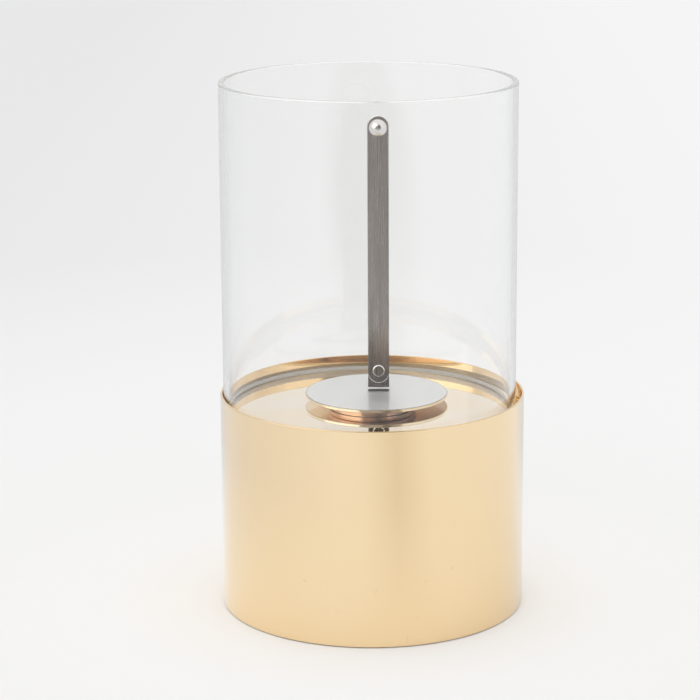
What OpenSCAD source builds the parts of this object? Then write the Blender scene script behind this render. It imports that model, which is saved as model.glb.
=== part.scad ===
// Storm lantern: a polished brass base with a sunk deck, a loose glass cylinder,
// a lift-out burner, and a snuffer lid that is lifted by a bar hinged on it.
// Millimetres, +Z up, origin on the table under the centre of the base, front at -Y.

/* [Overall] */
// Height of the glass rim above the table
total_h = 244; // [220:1:280]
// Outer diameter of the brass sleeve
base_d = 140; // [125:1:160]
// Height of the sleeve's rim above the table
base_h = 100; // [85:1:120]

/* [Base] */
// Wall of the sleeve
sleeve_wall = 1; // [0.8:0.1:1.5]
// Small bevel on both edges of the sleeve's rim
rim_bevel = 0.25; // [0.1:0.05:0.35]
// Depth of the deck below the sleeve's rim
deck_drop = 7; // [5:0.5:12]
// Thickness of the deck and of the bottom plate
plate_t = 1; // [0.8:0.1:1.5]
// Bend radius inside the turned edges of both plates
plate_bend = 1.5; // [1:0.25:2.5]
// Height of the turned skirts on both plates
skirt_h = 9; // [7:0.5:14]
// Radial gap for solder between the sleeve and both skirts
solder_gap = 0.1; // [0.05:0.05:0.2]

/* [Feet] */
// Diameter of a felt pad
pad_d = 16; // [10:1:22]
// Thickness of a felt pad
pad_t = 2; // [1.5:0.1:3]
// How far the pads stand below the sleeve's lower edge
pad_proud = 0.4; // [0.2:0.1:0.8]
// Distance from the sleeve's outside to the edge of a pad
pad_inset = 8; // [6:1:16]
// Number of pads
pad_count = 4; // [3:1:6]

/* [Glass] */
// Wall of the glass
glass_wall = 2.5; // [2:0.1:3.5]
// Radius of the fire-polished edges
glass_edge = 0.9; // [0.5:0.1:0.95]
// Play between the glass and the sleeve, all round
glass_play = 1.6; // [1:0.1:2.5]
// Gap left where the loose glass leans towards the sleeve
lean_gap = 0.4; // [0.3:0.05:0.8]

/* [Burner] */
// Outer diameter of the neck ring
neck_d = 40; // [34:1:44]
// Height of the neck ring above the deck
neck_h = 2.6; // [2:0.1:4]
// Width of the ledge by which the neck ring sits on the deck
neck_ledge = 2; // [1.5:0.1:3]
// Thickness of the lip over the can's edge
lip_t = 0.8; // [0.6:0.1:1.2]
// How far the lip reaches in past the can's wall
lip_reach = 0.7; // [0.3:0.1:1.2]
// Rounding of the neck ring's outer top edge
neck_round = 0.5; // [0.2:0.1:0.9]
// Wall and floor of the fuel can
can_wall = 0.8; // [0.6:0.1:1.2]
// Inside radius where the can's wall meets its floor
can_corner = 3; // [2:0.5:5]
// Height of the fuel can
can_h = 72; // [50:1:76]
// Radial play of the can in the deck's hole
can_play = 0.4; // [0.3:0.1:0.8]
// Solder gap between the neck ring and the can
braze_gap = 0.05; // [0.02:0.01:0.1]

/* [Wool and screen] */
// Depth of the screen's top below the top of the neck ring
screen_drop = 9; // [7:0.5:14]
// Thickness of the perforated screen
screen_t = 0.6; // [0.4:0.1:1]
// Diameter of a hole in the screen
screen_hole_d = 2.4; // [1.8:0.1:2.8]
// Distance between the holes
screen_pitch = 3.6; // [3.2:0.1:5]
// Radial gap round the wool and the screen
wool_gap = 0.2; // [0.1:0.05:0.5]
// Wire diameter of the split ring
ring_wire_d = 1.4; // [1:0.1:2]
// Angle of the opening in the split ring, degrees
ring_split = 30; // [15:5:60]

/* [Lid] */
// How far the lid stands out past the neck ring when it is centred
lid_over = 13.2; // [11:0.2:18]
// Thickness of the lid
lid_t = 1.6; // [1.2:0.1:2.5]
// Bevel on the lid's edges
lid_bevel = 0.2; // [0.1:0.05:0.3]
// How far to the right of the burner the loose lid lies
lid_right = 2.1; // [-3:0.1:3]
// How far behind the burner's centre the loose lid lies
lid_back = 9.9; // [0:0.1:10]

/* [Bracket] */
// Thickness of the bracket's sheet
bracket_t = 1.5; // [1:0.1:2]
// Inside radius of the bend
bend_r = 1; // [0.6:0.1:1.6]
// Length of the foot, from the tab's front face to its back end
bracket_foot = 17; // [16:0.5:19]
// How far the tab reaches above the pivot
tab_over = 4.4; // [3.5:0.1:4.8]
// Shank diameter of the foot's rivets
foot_rivet_d = 2.4; // [2:0.1:3]
// Head diameter of the foot's rivets
foot_rivet_head = 4.4; // [3.8:0.1:5]
// Head height of the foot's rivets
foot_rivet_rise = 1.1; // [0.8:0.1:1.6]
// Distance between the foot's rivets
foot_rivet_pitch = 6; // [5.4:0.1:6.6]
// Clearance of the fixed rivets, screw and washers in their holes
hole_gap = 0.05; // [0.02:0.01:0.1]

/* [Handle] */
// Length of the bar
bar_l = 125; // [100:1:128]
// Width of the bar and of the bracket's tab
bar_w = 9.8; // [9:0.1:12]
// Thickness of the bar
bar_t = 2; // [1.5:0.1:3]
// Bevel on the bar's edges
bar_bevel = 0.3; // [0.1:0.05:0.5]
// Gap between the lid and the bar's lower end
bar_gap = 4.7; // [3.8:0.1:8]
// How far the pivot stands in from the centre of the bar's round lower end
pivot_in = 0.9; // [0:0.1:2]
// How far the bar stands to the right of the lid's centre
bar_right = 1; // [-2:0.1:2]

/* [Hinge] */
// Shank diameter of the hinge rivet
pivot_d = 3.5; // [3:0.1:4]
// Diameter of the hinge rivet's head where it meets the bar
pivot_head = 5.9; // [5.4:0.1:6.6]
// Diameter of the flat on that head
pivot_flat = 4.5; // [4:0.1:5]
// Height of that head
pivot_rise = 0.6; // [0.4:0.1:1]
// Radial running clearance of the bar on the rivet
pivot_gap = 0.05; // [0.02:0.01:0.1]
// Gap on each side of the bar between the washer and the head
side_gap = 0.05; // [0.02:0.01:0.1]
// Diameter of the hinge washers
washer_d = 7; // [6.4:0.1:8]
// Thickness of the washers
washer_t = 0.5; // [0.3:0.1:0.8]

/* [Knob] */
// Diameter of the knob's ball
knob_d = 8.2; // [7:0.1:9]
// How far the ball's centre stands in front of the bar
knob_out = 1.5; // [1:0.1:2]
// How far the knob stands in from the centre of the bar's round upper end
knob_in = 0.5; // [0:0.1:2]
// Shank diameter of the knob's screw
screw_d = 3; // [2.5:0.1:3.2]
// How deep the screw goes into the knob
screw_in = 3; // [2:0.1:3.2]
// Head diameter of the screw
screw_head = 5.2; // [4.6:0.1:6]
// Head height of the screw
screw_rise = 1.6; // [1.2:0.1:2]
// Width of the screwdriver slot
slot_w = 0.9; // [0.6:0.1:1.2]
// Depth of the screwdriver slot
slot_depth = 0.7; // [0.5:0.1:0.9]

/* [Hidden] */
$fn = 128;
// Overlap that keeps cuts and unions clean
eps = 0.01;

// Levels
sleeve_z = pad_proud;
deck_z = base_h - deck_drop;
neck_z = deck_z + neck_h;
lid_z = neck_z + lid_t;
can_top = neck_z - lip_t;
can_floor = can_top - can_h;
screen_z = neck_z - screen_drop;

// Radii of the base and the glass
sleeve_r = base_d / 2;
sleeve_in = sleeve_r - sleeve_wall;
skirt_r = sleeve_in - solder_gap;
glass_r = sleeve_in - glass_play;
glass_lean = glass_play - lean_gap;
pad_ring_r = sleeve_r - pad_inset - pad_d / 2;

// Radii of the burner
neck_r = neck_d / 2;
can_r = neck_r - neck_ledge;
can_in = can_r - can_wall;
mouth_r = can_in - lip_reach;
hole_r = can_r + can_play;
screen_r = can_in - wool_gap;

// Lid and bracket, which has its own zero at the foot of the tab's front face
lid_r = neck_r + lid_over;
bend_out = bend_r + bracket_t;
pivot_x = lid_right + bar_right;
bar_end = bar_w / 2 + pivot_in;
pivot_h = bar_gap + bar_end;
foot_rivet_edge = (bracket_foot - bend_out - foot_rivet_pitch) / 2;
foot_rivet_y = bend_out + foot_rivet_edge;
foot_rivet_sink = foot_rivet_d / 2 + lid_t / 2;

// Places along the hinge rivet, from the tab's front face to the front
bar_back = -washer_t - side_gap;
bar_front = bar_back - bar_t;
head_back = bar_front - side_gap;
tail_front = bracket_t + washer_t;

// Places along the bar, from the pivot up
bar_top = bar_l - bar_end - bar_w / 2;
knob_up = bar_top - knob_in;

// Finishes as they look on the object
brass = [0.90, 0.74, 0.48];
pale_brass = [0.91, 0.85, 0.74];
steel = [0.56, 0.53, 0.51];
bright_steel = [0.85, 0.85, 0.84];
clear_glass = [0.80, 0.86, 0.84, 0.35];

// A quarter of a bent sheet: the outside radius is r, the sheet is t thick
module bend_quarter(r, t) {
  difference() {
    circle(r);
    circle(r - t);
    translate([-r - eps, -r - eps]) square([2 * r + 2 * eps, r + eps]);
    translate([-r - eps, -r - eps]) square([r + eps, 2 * r + 2 * eps]);
  }
}

// Half section of a plate with a skirt turned down at radius r, from the axis out
module skirted_half(r, t, bend, h) {
  out = bend + t;
  translate([0, -t]) square([r - out, t]);
  translate([r - t, -h]) square([t, h - out]);
  translate([r - out, -out]) bend_quarter(out, t);
}

// A cylinder along -Y that starts at y
module rod_front(d, y, length) {
  translate([0, y, 0]) rotate([90, 0, 0]) cylinder(d = d, h = length);
}

// A cylinder along +Y that starts at y
module rod_back(d, y, length) {
  translate([0, y + length, 0]) rotate([90, 0, 0]) cylinder(d = d, h = length);
}

// Cap of a sphere on the XY plane: base diameter d, rise h
module dome(d, h) {
  ball_r = (d * d / 4 + h * h) / (2 * h);
  intersection() {
    translate([0, 0, h - ball_r]) sphere(ball_r);
    cylinder(d = d, h = h);
  }
}

// Moves its children from the bracket's own zero to the lid
module on_lid() {
  translate([pivot_x, lid_back, lid_z]) children();
}

// Moves its children to the pivot
module on_pivot() {
  on_lid() translate([0, 0, pivot_h]) children();
}

module base_sleeve() {
  color(brass)
    rotate_extrude()
      polygon([
        [sleeve_in, sleeve_z],
        [sleeve_r, sleeve_z],
        [sleeve_r, base_h - rim_bevel],
        [sleeve_r - rim_bevel, base_h],
        [sleeve_in + rim_bevel, base_h],
        [sleeve_in, base_h - rim_bevel]
      ]);
}

module deck_plate() {
  collar_r = hole_r + plate_t + plate_bend;
  color(pale_brass)
    translate([0, 0, deck_z])
      rotate_extrude() {
        difference() {
          skirted_half(skirt_r, plate_t, plate_bend, skirt_h);
          translate([0, -skirt_h]) square([collar_r, skirt_h + eps]);
        }
        translate([hole_r, -skirt_h]) square([plate_t, skirt_h - plate_t - plate_bend]);
        translate([collar_r, -plate_t - plate_bend])
          mirror([1, 0]) bend_quarter(plate_t + plate_bend, plate_t);
      }
}

module bottom_plate() {
  color(steel)
    translate([0, 0, pad_t])
      mirror([0, 0, 1])
        rotate_extrude() skirted_half(skirt_r, plate_t, plate_bend, skirt_h);
}

module foot_pads() {
  color("dimgray")
    for (i = [0 : pad_count - 1])
      rotate([0, 0, (i + 0.5) * 360 / pad_count])
        translate([pad_ring_r, 0, 0]) cylinder(d = pad_d, h = pad_t);
}

// Straight tube whose four edges are rounded
module glass_chimney() {
  in = glass_r - glass_wall + glass_edge;
  out = glass_r - glass_edge;
  low = deck_z + glass_edge;
  high = total_h - glass_edge;
  color(clear_glass)
    translate([-glass_lean, 0, 0])
      rotate_extrude() {
        translate([glass_r - glass_wall, low]) square([glass_wall, high - low]);
        translate([in, deck_z]) square([out - in, total_h - deck_z]);
        for (r = [in, out], z = [low, high])
          translate([r, z]) circle(glass_edge);
      }
}

// Ring that sits on the deck by its ledge and laps over the can's edge
module burner_neck() {
  bore = can_r + braze_gap;
  color(brass)
    rotate_extrude() {
      translate([bore, deck_z]) square([neck_r - bore, neck_h - neck_round]);
      translate([mouth_r, can_top]) square([neck_r - neck_round - mouth_r, lip_t]);
      translate([neck_r - neck_round, neck_z - neck_round]) circle(neck_round);
    }
}

// Drawn can, its top edge under the neck ring's lip
module burner_can() {
  color(steel)
    translate([0, 0, can_floor])
      mirror([0, 0, 1])
        rotate_extrude() skirted_half(can_r, can_wall, can_corner, can_h);
}

module fuel_wool() {
  bottom = can_floor + can_wall;
  top = screen_z - screen_t;
  color("whitesmoke")
    translate([0, 0, bottom])
      difference() {
        cylinder(r = screen_r, h = top - bottom);
        rotate_extrude()
          difference() {
            translate([screen_r - can_corner, -eps]) square(can_corner + eps);
            translate([screen_r - can_corner, can_corner]) circle(can_corner);
          }
      }
}

// Plate with holes on rings round the centre hole, six more on each ring
module wool_screen() {
  rings = floor((screen_r - screen_hole_d) / screen_pitch);
  color(steel)
    translate([0, 0, screen_z - screen_t])
      difference() {
        cylinder(r = screen_r, h = screen_t);
        for (ring = [0 : rings], i = [0 : max(1, 6 * ring) - 1])
          rotate([0, 0, i * 60 / max(1, ring)])
            translate([ring * screen_pitch, 0, -eps])
              cylinder(d = screen_hole_d, h = screen_t + 2 * eps);
      }
}

module screen_ring() {
  wire_r = ring_wire_d / 2;
  color(bright_steel)
    translate([0, 0, screen_z + wire_r])
      rotate([0, 0, ring_split / 2 - 90])
        rotate_extrude(angle = 360 - ring_split)
          translate([can_in - hole_gap - wire_r, 0]) circle(wire_r);
}

module lid_disc() {
  color(bright_steel)
    difference() {
      translate([lid_right, lid_back, neck_z])
        rotate_extrude()
          polygon([
            [0, 0],
            [lid_r - lid_bevel, 0],
            [lid_r, lid_bevel],
            [lid_r, lid_t - lid_bevel],
            [lid_r - lid_bevel, lid_t],
            [0, lid_t]
          ]);
      on_lid() foot_rivets(hole_gap, eps);
    }
}

// Shanks and sunk tails of the foot's two rivets, grown by a gap and a cut for their holes
module foot_rivets(gap, cut) {
  for (i = [0, 1])
    translate([0, foot_rivet_y + i * foot_rivet_pitch, -lid_t - cut]) {
      cylinder(d = foot_rivet_d + 2 * gap, h = lid_t + bracket_t + 2 * cut);
      cylinder(r1 = foot_rivet_sink + gap, r2 = foot_rivet_d / 2 + gap, h = lid_t / 2);
    }
}

// Bent angle: a round-topped tab that carries the pivot, and a foot to the back
module hinge_bracket() {
  tab_top = pivot_h + tab_over;
  color(steel)
    on_lid()
      difference() {
        rotate([90, 0, 90])
          linear_extrude(bar_w, center = true) {
            translate([0, bend_out]) square([bracket_t, tab_top - bend_out]);
            translate([bend_out, 0]) square([bracket_foot - bend_out, bracket_t]);
            translate([bend_out, bend_out]) rotate(180) bend_quarter(bend_out, bracket_t);
          }
        tab_corners(tab_top);
        translate([0, 0, pivot_h]) rod_back(pivot_d + 2 * hole_gap, -eps, bracket_t + 2 * eps);
        foot_rivets(hole_gap, eps);
      }
}

// What is cut from the tab's top corners to leave a round end
module tab_corners(tab_top) {
  translate([0, bracket_t + eps, tab_top - bar_w / 2])
    rotate([90, 0, 0])
      linear_extrude(bracket_t + 2 * eps)
        difference() {
          translate([-bar_w / 2 - eps, 0]) square([bar_w + 2 * eps, bar_w / 2 + eps]);
          circle(d = bar_w);
        }
}

module bracket_rivets() {
  color(bright_steel)
    on_lid() {
      foot_rivets(0, 0);
      for (i = [0, 1])
        translate([0, foot_rivet_y + i * foot_rivet_pitch, bracket_t])
          dome(foot_rivet_head, foot_rivet_rise);
    }
}

// Rivet with a bevelled flat head in front and a formed tail behind
module hinge_rivet() {
  color(bright_steel)
    on_pivot() {
      rod_front(pivot_d, tail_front, tail_front - head_back);
      translate([0, head_back, 0])
        rotate([90, 0, 0]) cylinder(d1 = pivot_head, d2 = pivot_flat, h = pivot_rise);
      translate([0, tail_front, 0])
        rotate([-90, 0, 0]) cylinder(d1 = pivot_head, d2 = pivot_flat, h = pivot_rise);
    }
}

module hinge_washers() {
  color(bright_steel)
    on_pivot()
      for (y = [-washer_t, bracket_t])
        difference() {
          rod_back(washer_d, y, washer_t);
          rod_back(pivot_d + 2 * hole_gap, y - eps, washer_t + 2 * eps);
        }
}

// Half section of a bevelled disc as thick as the bar
module bevel_half(r) {
  polygon([
    [0, 0],
    [r - bar_bevel, 0],
    [r, bar_bevel],
    [r, bar_t - bar_bevel],
    [r - bar_bevel, bar_t],
    [0, bar_t]
  ]);
}

// Flat bar with bevelled edges and round ends, bored for the pivot and the knob
module handle_bar() {
  r = bar_w / 2;
  color(steel)
    on_pivot()
      difference() {
        translate([0, bar_back, 0]) rotate([90, 0, 0]) {
          for (up = [-pivot_in, bar_top])
            translate([0, up, 0]) rotate_extrude() bevel_half(r);
          translate([0, bar_top, 0])
            rotate([90, 0, 0])
              linear_extrude(bar_top + pivot_in) {
                bevel_half(r);
                mirror([1, 0]) bevel_half(r);
              }
        }
        rod_front(pivot_d + 2 * pivot_gap, bar_back + eps, bar_t + 2 * eps);
        translate([0, 0, knob_up])
          rod_front(screw_d + 2 * hole_gap, bar_back + eps, bar_t + 2 * eps);
      }
}

// Ball with a flat seat on the bar and a blind hole for its screw
module grip_knob() {
  r = knob_d / 2;
  color(bright_steel)
    on_pivot()
      translate([0, bar_front, knob_up])
        difference() {
          rotate([90, 0, 0])
            rotate_extrude()
              intersection() {
                translate([0, knob_out]) circle(r);
                square([r + eps, knob_out + r + eps]);
              }
          rod_front(screw_d + 2 * hole_gap, eps, screw_in + hole_gap + eps);
        }
}

// Slotted screw from behind, through the bar into the knob
module knob_screw() {
  head_y = bar_back + washer_t;
  color(steel)
    on_pivot()
      translate([0, 0, knob_up]) {
        rod_front(screw_d, head_y, washer_t + bar_t + screw_in);
        difference() {
          rod_back(screw_head, head_y, screw_rise);
          translate([-screw_head / 2 - eps, head_y + screw_rise - slot_depth, -slot_w / 2])
            cube([screw_head + 2 * eps, slot_depth + eps, slot_w]);
        }
      }
}

module knob_washer() {
  color(bright_steel)
    on_pivot()
      translate([0, 0, knob_up])
        difference() {
          rod_back(washer_d, bar_back, washer_t);
          rod_back(screw_d + 2 * hole_gap, bar_back - eps, washer_t + 2 * eps);
        }
}

base_sleeve();
deck_plate();
bottom_plate();
foot_pads();
glass_chimney();
burner_neck();
burner_can();
fuel_wool();
wool_screen();
screen_ring();
lid_disc();
hinge_bracket();
bracket_rivets();
hinge_rivet();
hinge_washers();
handle_bar();
grip_knob();
knob_screw();
knob_washer();
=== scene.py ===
"""Finished surfaces of a storm lantern: brass base, glass cylinder, lift-out burner and steel snuffer.

The pieces are turned or swept with numpy, in metres, in the frame of the lantern's solids. Each takes its
place and main sizes from the solid that it stands for, and the small roundings from the sizes below.
"""

import math
from typing import NamedTuple

import bpy
import numpy as np
from mathutils import Matrix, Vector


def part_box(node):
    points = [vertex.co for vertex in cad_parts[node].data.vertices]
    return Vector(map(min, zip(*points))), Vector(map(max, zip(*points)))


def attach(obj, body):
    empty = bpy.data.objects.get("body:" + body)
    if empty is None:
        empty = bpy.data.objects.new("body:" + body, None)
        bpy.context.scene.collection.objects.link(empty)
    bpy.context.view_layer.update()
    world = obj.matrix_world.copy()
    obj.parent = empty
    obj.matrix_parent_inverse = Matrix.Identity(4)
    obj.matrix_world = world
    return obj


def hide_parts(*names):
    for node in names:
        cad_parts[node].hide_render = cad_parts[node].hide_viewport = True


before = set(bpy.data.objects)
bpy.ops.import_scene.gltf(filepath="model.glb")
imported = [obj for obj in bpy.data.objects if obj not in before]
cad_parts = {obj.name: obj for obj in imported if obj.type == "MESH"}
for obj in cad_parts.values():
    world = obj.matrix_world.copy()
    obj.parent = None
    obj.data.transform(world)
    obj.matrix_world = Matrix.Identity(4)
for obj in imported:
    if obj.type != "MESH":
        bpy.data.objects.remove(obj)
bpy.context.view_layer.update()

bl_info = {
    "name": "Storm Lantern",
    "version": (1, 0, 0),
    "blender": (4, 5, 0),
    "location": "View3D > Sidebar > Lantern",
    "description": "Makes the brass, glass and steel surfaces of a storm lantern",
    "category": "Object",
}

MM = 0.001
SHARP_ANGLE = math.radians(40)
LIGHT_BOUNCES = 64
# Points beside each rounding, as a share of its radius
ARC_LEAD = 0.2
# First step of the bracket's round top
TIP_ANGLE = math.radians(8)
WOOL_RINGS = 40
WOOL_SEED = 7
# Lengths of the waves in the wool's tufts, in millimetres
TUFT_WAVES = (5.0, 3.1, 1.9, 1.3)
# Grain of the steel, in waves a metre along X, Y and Z
POLISH_LINES = (900.0, 40.0, 900.0)
BRUSH_LINES = (2600.0, 2600.0, 55.0)
STEEL_CLOUDS = (22.0, 22.0, 22.0)
GLASS_IOR = 1.47
# How strongly a metre of glass tints
GLASS_DENSITY = 25.0
# Seen from the lantern: the camera's side, the floor's back left, a window at the upper left that glows
# brighter than white, and a doorway's azimuth from the front to the right, in radians
CAMERA_SIDE = (0.0, -0.966, 0.259)
BACK_LEFT = (-0.85, 0.53, 0.0)
WINDOW_SIDE = (-0.718, -0.415, 0.559)
WINDOW_GLOW = (1.5, 1.48, 1.45, 1.0)
DOOR_AZIMUTH = 0.29
# Where each of these fades: cones by the dot product with their axis, the doorway and the strip of floor
# before it by half their width in radians, tops by the heading's height, and the haze by how far it is back
ROOM_CONE = (0.74, 0.80)
WINDOW_CONE = (0.82, 0.84)
LEFT_CONE = (-0.2, 1.0)
BACK_CONE = (0.6, 0.9)
DOOR_HALF = (0.10, 0.13)
STRIP_HALF = (0.0, 0.4)
DOOR_TOP = (0.50, 0.60)
HAZE_TOP = (0.4, 0.75)
HAZE_BACK = (-0.3, 0.2)
# Where the floor's tones change, in metres: from left to right, then out from the axis
FLOOR_SIDES = (-0.35, 0.35)
FLOOR_NEAR = (0.07, 0.2)
FLOOR_FAR = (0.2, 0.8)
FLOOR_FOOT = (0.08, 0.3)
# Middle of the unlit floor in front, and where its edge fades
UNLIT_SPOT = (0.1, -1.3, 0.0)
UNLIT_EDGE = (0.56, 0.8)
# The lamp above the camera, and the middle of the glass
LAMP_PLACE = np.array((-0.2, -1.15, 1.35))
LAMP_AIM = np.array((0.0, 0.0, 0.12))
X = np.array((1.0, 0.0, 0.0))
Y = np.array((0.0, 1.0, 0.0))
Z = np.array((0.0, 0.0, 1.0))
# Two directions across an axis and the axis itself, right-handed
UPRIGHT = (X, Y, Z)
FORWARD = (X, Z, -Y)


def length(name, description, millimetres):
    """A size property, given in millimetres and kept in metres."""
    return bpy.props.FloatProperty(
        name=name,
        description=description,
        default=millimetres * MM,
        min=0.0,
        precision=5,
        subtype="DISTANCE",
        unit="LENGTH",
    )


def colour(name, description, default):
    """A colour property in linear values."""
    return bpy.props.FloatVectorProperty(
        name=name, description=description, default=default, size=3, min=0.0, max=1.0, subtype="COLOR"
    )


def share(name, description, default):
    """A property from 0 to 1."""
    return bpy.props.FloatProperty(
        name=name, description=description, default=default, min=0.0, max=1.0, subtype="FACTOR"
    )


def angle(name, description, degrees):
    """An angle property, given in degrees and kept in radians."""
    return bpy.props.FloatProperty(
        name=name, description=description, default=math.radians(degrees), subtype="ANGLE", unit="ROTATION"
    )


def whole(name, description, default):
    """A property in whole numbers."""
    return bpy.props.IntProperty(name=name, description=description, default=default)


class LanternSizes(bpy.types.PropertyGroup):
    """Steps, roundings, thicknesses and bands of finish that the solids' outer sizes don't give"""

    around: whole("Round steps", "Steps round the large pieces", 256)
    around_small: whole("Small round steps", "Steps round rivets, washers and the knob", 96)
    arc_steps: whole("Edge steps", "Steps in each rounded edge", 6)
    rim_round: length("Sleeve edges", "Rounding of the sleeve's rim and foot", 0.3)
    brim: length("Brim", "Height of the tarnished band at the sleeve's rim", 0.45)
    sheet_t: length("Sheet", "Thickness of the deck's sheet", 1.0)
    sheet_bend: length("Sheet bend", "Inside radius of the deck's turned edges", 1.5)
    cut_edge: length("Cut edges", "Rounding of cut sheet edges", 0.15)
    glass_rim: length("Glass rim", "Rounding of the glass's upper edges", 0.8)
    glass_foot: length("Glass foot", "Rounding of the glass's lower edges", 1.2)
    matt_foot: length("Matt foot", "Height of the matt band inside the glass's foot", 2.6)
    matt_rim: length("Matt rim", "Height of the matt band at the glass's rim", 0.7)
    matt_fade: length("Matt fade", "Height over which the matt foot fades out", 0.4)
    neck_round: length("Neck edge", "Rounding of the neck ring's top edge", 0.5)
    can_wall: length("Can wall", "Wall and floor of the fuel can", 0.8)
    can_corner: length("Can corner", "Inside radius of the can's bottom corner", 3.0)
    wool_loft: length("Wool loft", "Height of the loose tufts on the wool", 0.45)
    lid_edge: length("Lid edge", "Rounding of the lid's edges", 0.35)
    bracket_t: length("Bracket sheet", "Thickness of the hinge bracket", 1.5)
    bracket_bend: length("Bracket bend", "Inside radius of the bracket's bend", 1.0)
    bracket_edge: length("Bracket edges", "Rounding of the bracket's edges", 0.2)
    rivet_flat: length("Rivet flat", "Diameter of the flat on the hinge rivet's ends", 4.9)
    rivet_rise: length("Rivet rise", "Height of the hinge rivet's ends", 0.6)
    rivet_shank: length("Rivet shank", "Shank diameter of the hinge rivet", 3.5)
    foot_shank: length("Foot rivet shank", "Shank diameter of the bracket's rivets", 2.4)
    washer_t: length("Washers", "Thickness of the washers", 0.5)
    washer_hole: length("Washer hole", "Hole diameter of the washers", 3.4)
    bar_edge: length("Bar edges", "Rounding of the bar's edges", 0.4)
    smoke: length("Smoke", "How far above the hinge the bar is smoked", 16.0)
    pad_edge: length("Pad edges", "Rounding of the felt pads", 0.6)
    ring_split: angle("Ring split", "Opening of the split ring", 30.0)


class LanternFinish(bpy.types.PropertyGroup):
    """Colours and gloss of the finishes"""

    brass: colour("Brass", "Polished sleeve", (0.95, 0.752, 0.470))
    brass_warm: colour("Warm brass", "Deeper tone in the sleeve's cloudy patches", (0.942, 0.72, 0.42))
    tarnish: colour("Tarnish", "Specks on the sleeve and its brim", (0.62, 0.40, 0.17))
    deck: colour("Deck", "Pale mirror of the deck", (0.895, 0.805, 0.70))
    # Painted reflection and shade: a coppery sheen on the neck's front, brown-violet shade on its right and
    # on the lid's underside at the front right, and straw on their lit side
    copper_sheen: colour("Heat tint", "Coppery tint of the neck", (0.78, 0.50, 0.32))
    straw: colour("Straw tint", "Clean side of the lid's underside and neck", (0.985, 0.965, 0.92))
    violet_shade: colour("Burn tint", "Brown-violet tint where the flame was hottest", (0.34, 0.255, 0.24))
    knob: colour("Polished steel", "Knob and rivets", (0.80, 0.785, 0.77))
    # Also the painted highlights on the bar's round ends and the bracket's bend
    lid: colour("Satin steel", "Top of the lid and bright wear", (1.0, 1.0, 0.99))
    # Painted on the lid's edge: a straw reflection of the brass round it, and painted shade along its two
    # corners
    edge: colour("Edge tint", "Straw tint of the lid's heated edge", (0.93, 0.83, 0.63))
    corner_shade: colour("Grime", "Dark line along the lid's edges", (0.30, 0.27, 0.25))
    bar: colour("Brushed steel", "Bar and bracket", (0.50, 0.47, 0.45))
    bar_dark: colour("Brush lines", "Darker lines in the brushing", (0.30, 0.28, 0.265))
    # Also painted shadow, at a tenth of this colour, under the bracket's bend
    soot_and_shadow: colour("Soot", "Smoked steel near the flame", (0.125, 0.112, 0.104))
    steel: colour("Plain steel", "Can, screen and bottom plate", (0.52, 0.51, 0.49))
    glass: colour("Glass", "Tint of the glass at depth", (0.83, 0.85, 0.78))
    wool: colour("Wool", "Mineral wool", (0.86, 0.84, 0.80))
    felt: colour("Felt", "Felt pads", (0.075, 0.072, 0.07))
    brass_gloss: share("Brass roughness", "Roughness of the sleeve", 0.12)
    inside_gloss: share("Inside roughness", "Roughness of the sleeve's inside", 0.035)
    steel_gloss: share("Steel roughness", "Roughness of polished steel", 0.06)
    satin_gloss: share("Satin roughness", "Roughness of the lid's satin top", 0.58)
    foot_matt: share("Ground foot", "How matt the foot of the glass is", 0.8)
    rim_matt: share("Ground rim", "How matt the rim of the glass is", 0.5)


class LanternStage(bpy.types.PropertyGroup):
    """Camera, floor and light"""

    lens: bpy.props.FloatProperty(
        name="Lens", description="Focal length in millimetres", default=127.81, subtype="DISTANCE_CAMERA"
    )
    distance: length("Distance", "Camera in front of the lantern's axis", 1109.8)
    height: length("Height", "Camera above the floor", 395.75)
    pitch: angle("Pitch", "How far the camera looks down", 13.985)
    turn: angle("Turn", "How far the camera looks to the left", 0.52)
    roll: angle("Roll", "How far the camera leans", -0.33)
    floor_size: length("Floor", "Side of the floor", 16000.0)
    floor: colour("Floor", "Floor round the lantern", (0.90, 0.90, 0.90))
    # Painted light round the foot against its contact shadow and the brass's glow, and painted shade on the
    # far floor, darker on the left
    lit_near_floor: colour("Near floor", "Floor at the foot, cool against the brass's glow", (0.985, 0.99, 1.0))
    floor_left: colour("Far left", "Far floor on the left", (0.785, 0.785, 0.785))
    floor_right: colour("Far right", "Far floor on the right", (0.885, 0.885, 0.885))
    front_floor: colour("Front floor", "Unlit floor in front, which the metal mirrors", (0.42, 0.40, 0.39))
    foot_floor: colour("Foot floor", "Floor round the foot, which the metal mirrors", (0.97, 0.975, 0.985))
    side_floor: colour("Side floor", "Floor to both sides, which the metal mirrors", (0.905, 0.92, 0.955))
    left_floor: colour("Left floor", "Floor at the back left, which the metal mirrors", (0.80, 0.81, 0.85))
    back_floor: colour("Back floor", "Floor behind, which the metal mirrors", (0.71, 0.72, 0.73))
    dim_floor: colour("Dim floor", "Strip of floor before the doorway", (0.79, 0.775, 0.76))
    haze: colour("Haze", "Backdrop near the horizon, which the metal mirrors", (0.86, 0.855, 0.85))
    room: colour("Room", "Room round the camera, which the metal mirrors", (0.30, 0.26, 0.235))
    shade: colour("Shade", "Dark doorway in that room", (0.07, 0.055, 0.05))
    sky: colour("Sky", "Soft light all round", (1.0, 1.0, 1.0))
    sky_strength: bpy.props.FloatProperty(
        name="Sky strength", description="Strength of the soft light", default=1.03
    )
    lamp_power: bpy.props.FloatProperty(
        name="Lamp", description="Power of the lamp above the camera, in watts", default=0.8, unit="POWER"
    )
    lamp_size: length("Lamp size", "Side of that lamp", 500.0)


# Measuring the solids


class Round(NamedTuple):
    """A round solid: the middle of its box, its inner and outer radius, and its two ends along its axis."""

    centre: np.ndarray
    inner: float
    outer: float
    low: float
    high: float


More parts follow.
